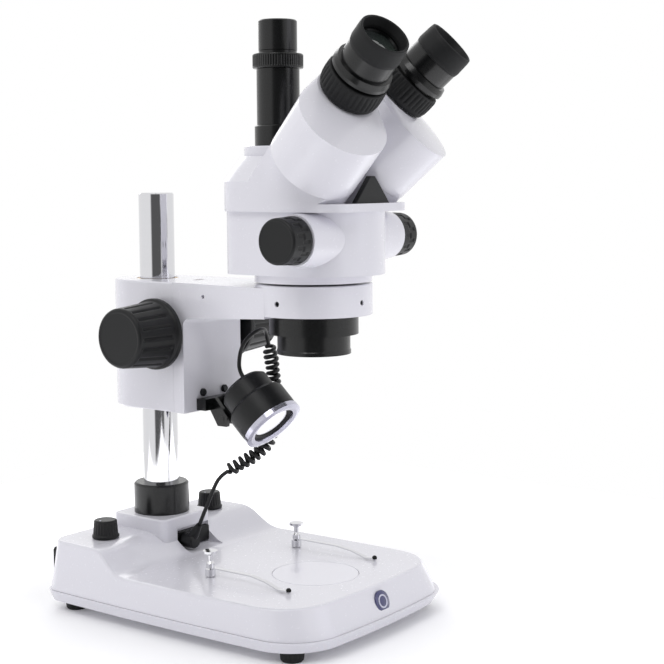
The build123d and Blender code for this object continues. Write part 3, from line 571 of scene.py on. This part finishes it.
def baseBadge(settings):
    # a plain disc with a lighter ring on the sloping front of the base
    lean = settings["lean"]
    normal = (0.0, -math.cos(lean), math.sin(lean))
    reach = settings["front"] - settings["draft"] * (settings["height"] - settings["trayTop"])
    origin = (0.0, columnY - (reach - settings["proud"]) * mm, settings["height"] * mm)
    radius = settings["radius"]
    plate = turnedPiece("badgePlate", origin, normal,
                        [(0, -1.5), (radius, -1.5), (radius, 0.7), (radius - 0.5, 1.0), (0, 1.1)],
                        96)
    ring = turnedPiece("badgeRing", origin, normal,
                       [(radius * 0.48, 0.9), (radius * 0.62, 0.9), (radius * 0.62, 1.3),
                        (radius * 0.48, 1.3)], 96, closed=True)
    seat(plate, badgeBlue, "stand")
    seat(ring, badgeLight, "stand")


baseBadge(badgeSet)


tipSet = {
    "radius": 2.25,
    "height": 45.9,         # of the ball's centre
    "away": 1.8,            # outward from the clip's hinge
    "along": 2.1,           # back from the clip's front end
}


def clipTips(settings):
    # a black ball pushed on the end of each stage clip: a half circle turned upright
    radius = settings["radius"]
    arc = np.linspace(-math.pi / 2, math.pi / 2, 24)
    profile = [(radius * math.cos(a), radius * math.sin(a)) for a in arc]
    profile[0] = (0.0, -radius)
    profile[-1] = (0.0, radius)
    for side, name in ((-1, "left"), (1, "right")):
        low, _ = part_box("stage_clip_" + name)
        hinge, _ = hingeOf("clip_" + name + "_swing")
        centre = (hinge.x + side * settings["away"] * mm, low.y + settings["along"] * mm,
                  settings["height"] * mm)
        ball = turnedPiece("clipTip" + name.capitalize(), centre, (0, 0, 1), profile, 48)
        seat(ball, rubber, "clip_" + name)


clipTips(tipSet)


lampSet = {
    "face": (0.0, -135.6, 167.2),
    "tilt": math.radians(42.8),
    "ring": [(20.7, 2.2), (16.6, 4.0), (16.4, 4.9), (20.5, 4.9)],
}


def lampRing(settings):
    # the matt black cone between the bright rim and the diffuser
    x, y, z = settings["face"]
    back = (0.0, math.cos(settings["tilt"]), math.sin(settings["tilt"]))
    ring = turnedPiece("lampRing", (x * mm, y * mm + columnY, z * mm), back, settings["ring"],
                       128, closed=True)
    seat(ring, moulded, "lamp")


lampRing(lampSet)


panelSet = {
    "front": -241.0,
    "back": -236.0,
    "low": 361.8,
    "high": 384.0,
    "lowHalf": 24.0,        # half of the width at the bottom
    "highHalf": 3.0,
    "bevel": 0.5,
}


def prismPanel(settings):
    # the dark cover between the two prism housings: a bevelled wedge plate
    x = [settings["lowHalf"], settings["highHalf"]]
    corners = [(-x[0], settings["low"]), (x[0], settings["low"]), (x[1], settings["high"]),
               (-x[1], settings["high"])]
    points = [(px * mm, depth * mm + columnY, pz * mm)
              for depth in (settings["front"], settings["back"]) for px, pz in corners]
    faces = [(0, 1, 2, 3), (7, 6, 5, 4), (0, 4, 5, 1), (1, 5, 6, 2), (2, 6, 7, 3), (3, 7, 4, 0)]
    mesh = bpy.data.meshes.new("prismPanel")
    mesh.from_pydata(points, [], faces)
    work = bmesh.new()
    work.from_mesh(mesh)
    bmesh.ops.recalc_face_normals(work, faces=work.faces)
    bmesh.ops.bevel(work, geom=work.edges[:], offset=settings["bevel"] * mm, segments=3,
                    profile=0.5, affect="EDGES")
    work.to_mesh(mesh)
    work.free()
    piece = bpy.data.objects.new("prismPanel", mesh)
    bpy.context.scene.collection.objects.link(piece)
    seat(piece, moulded, "head")


prismPanel(panelSet)
print("details made")


studioSet = {
    "open": 1.0,            # brightness of the white studio
    "dark": 0.12,           # brightness of the dark side that the chrome and gloss mirror
    "darkFrom": -0.62,      # the dark side's edges, turned from the camera, radians
    "darkTo": 0.46,
    "soft": 0.012,          # half width of those edges, as a share of the whole turn
    "floor": "#FBFBFD",
    "floorHalf": 0.6,
    "glow": (0.24, 0.5, 0.06, 0.9),     # distances where the glow grows, and its two strengths
    "lights": [
        # name, place, aim, size, power, colour
        ("keyTop", (-1.1, -0.4, 1.6), (0.0, 0.0, 0.25), 1.0, 9.0, "#FFFFFF"),
        ("frontFill", (0.6, -1.7, 0.7), (0.0, 0.0, 0.25), 1.0, 2.0, "#F0F0FF"),
        ("rearRim", (0.9, 1.2, 1.1), (0.0, 0.0, 0.3), 1.0, 4.0, "#FFFFFF"),
    ],
}


def makeWorld(settings):
    # white all round for the eye; what lights and mirrors has one dark upright side, found
    # from the direction's bearing, with soft edges
    world = bpy.data.worlds.new("studioWorld")
    world.use_nodes = True
    tree = world.node_tree
    tree.nodes.clear()
    sky = addNode(tree, "ShaderNodeTexCoord")
    split = addNode(tree, "ShaderNodeSeparateXYZ", {"Vector": (sky, "Generated")})
    bearing = addNode(tree, "ShaderNodeMath", operation="ARCTAN2")
    tree.links.new(split.outputs["X"], bearing.inputs[0])
    tree.links.new(split.outputs["Y"], bearing.inputs[1])
    place = cameraSet["place"]
    eye = math.atan2(place[0], place[1] - columnY)
    shades = addNode(tree, "ShaderNodeValToRGB")
    turned = addNode(tree, "ShaderNodeMapRange", {"Value": (bearing, "Value")})
    turned.inputs["From Min"].default_value = -math.pi
    turned.inputs["From Max"].default_value = math.pi
    tree.links.new(turned.outputs["Result"], shades.inputs["Fac"])
    start = (eye - settings["darkTo"] + math.pi) / (2 * math.pi)
    end = (eye - settings["darkFrom"] + math.pi) / (2 * math.pi)
    soft = settings["soft"]
    stops = [(start - soft, 1.0), (start + soft, 0.0), (end - soft, 0.0), (end + soft, 1.0)]
    ramp = shades.color_ramp
    while len(ramp.elements) < len(stops):
        ramp.elements.new(0.5)
    for element, (position, light) in zip(ramp.elements, stops):
        element.position = min(max(position, 0.0), 1.0)
        level = settings["dark"] + (settings["open"] - settings["dark"]) * light
        element.color = (level, level, level, 1.0)
    path = addNode(tree, "ShaderNodeLightPath")
    mix = addNode(tree, "ShaderNodeMix", {"Factor": (path, "Is Camera Ray")}, data_type="RGBA")
    tree.links.new(shades.outputs["Color"], mix.inputs[6])
    mix.inputs[7].default_value = (1.0, 1.0, 1.0, 1.0)
    background = addNode(tree, "ShaderNodeBackground")
    tree.links.new(mix.outputs[2], background.inputs["Color"])
    addNode(tree, "ShaderNodeOutputWorld", {"Surface": (background, "Background")})
    bpy.context.scene.world = world


def makeStudio(settings):
    makeWorld(settings)
    bpy.context.scene.view_settings.view_transform = "Standard"
    half = settings["floorHalf"]
    mesh = bpy.data.meshes.new("studioFloor")
    mesh.from_pydata([(-half, -half, 0), (half, -half, 0), (half, half, 0), (-half, half, 0)], [],
                     [(0, 1, 2, 3)])
    floor = bpy.data.objects.new("studioFloor", mesh)
    bpy.context.scene.collection.objects.link(floor)
    paper = surface("studioPaper", settings["floor"], 0.9, grain=1.5, bump=0.02, spread=0.01,
                    emission=0.1)
    tree = paper.node_tree
    shader = next(node for node in tree.nodes if node.type == "BSDF_PRINCIPLED")
    place = addNode(tree, "ShaderNodeTexCoord")
    away = addNode(tree, "ShaderNodeVectorMath", {0: (place, "Object")}, operation="LENGTH")
    glow = addNode(tree, "ShaderNodeMapRange", {"Value": (away, "Value")})
    for key, value in zip(("From Min", "From Max", "To Min", "To Max"), settings["glow"]):
        glow.inputs[key].default_value = value
    tree.links.new(glow.outputs["Result"], shader.inputs["Emission Strength"])
    dress(floor, paper)
    for name, place, aim, size, power, colour in settings["lights"]:
        data = bpy.data.lights.new(name, "AREA")
        data.shape = "DISK"
        data.size = size
        data.energy = power
        data.color = fromHex(colour)[:3]
        lamp = bpy.data.objects.new(name, data)
        lamp.location = place
        lamp.rotation_euler = (Vector(aim) - Vector(place)).to_track_quat("-Z", "Y").to_euler()
        bpy.context.scene.collection.objects.link(lamp)


makeStudio(studioSet)
print("studio made")
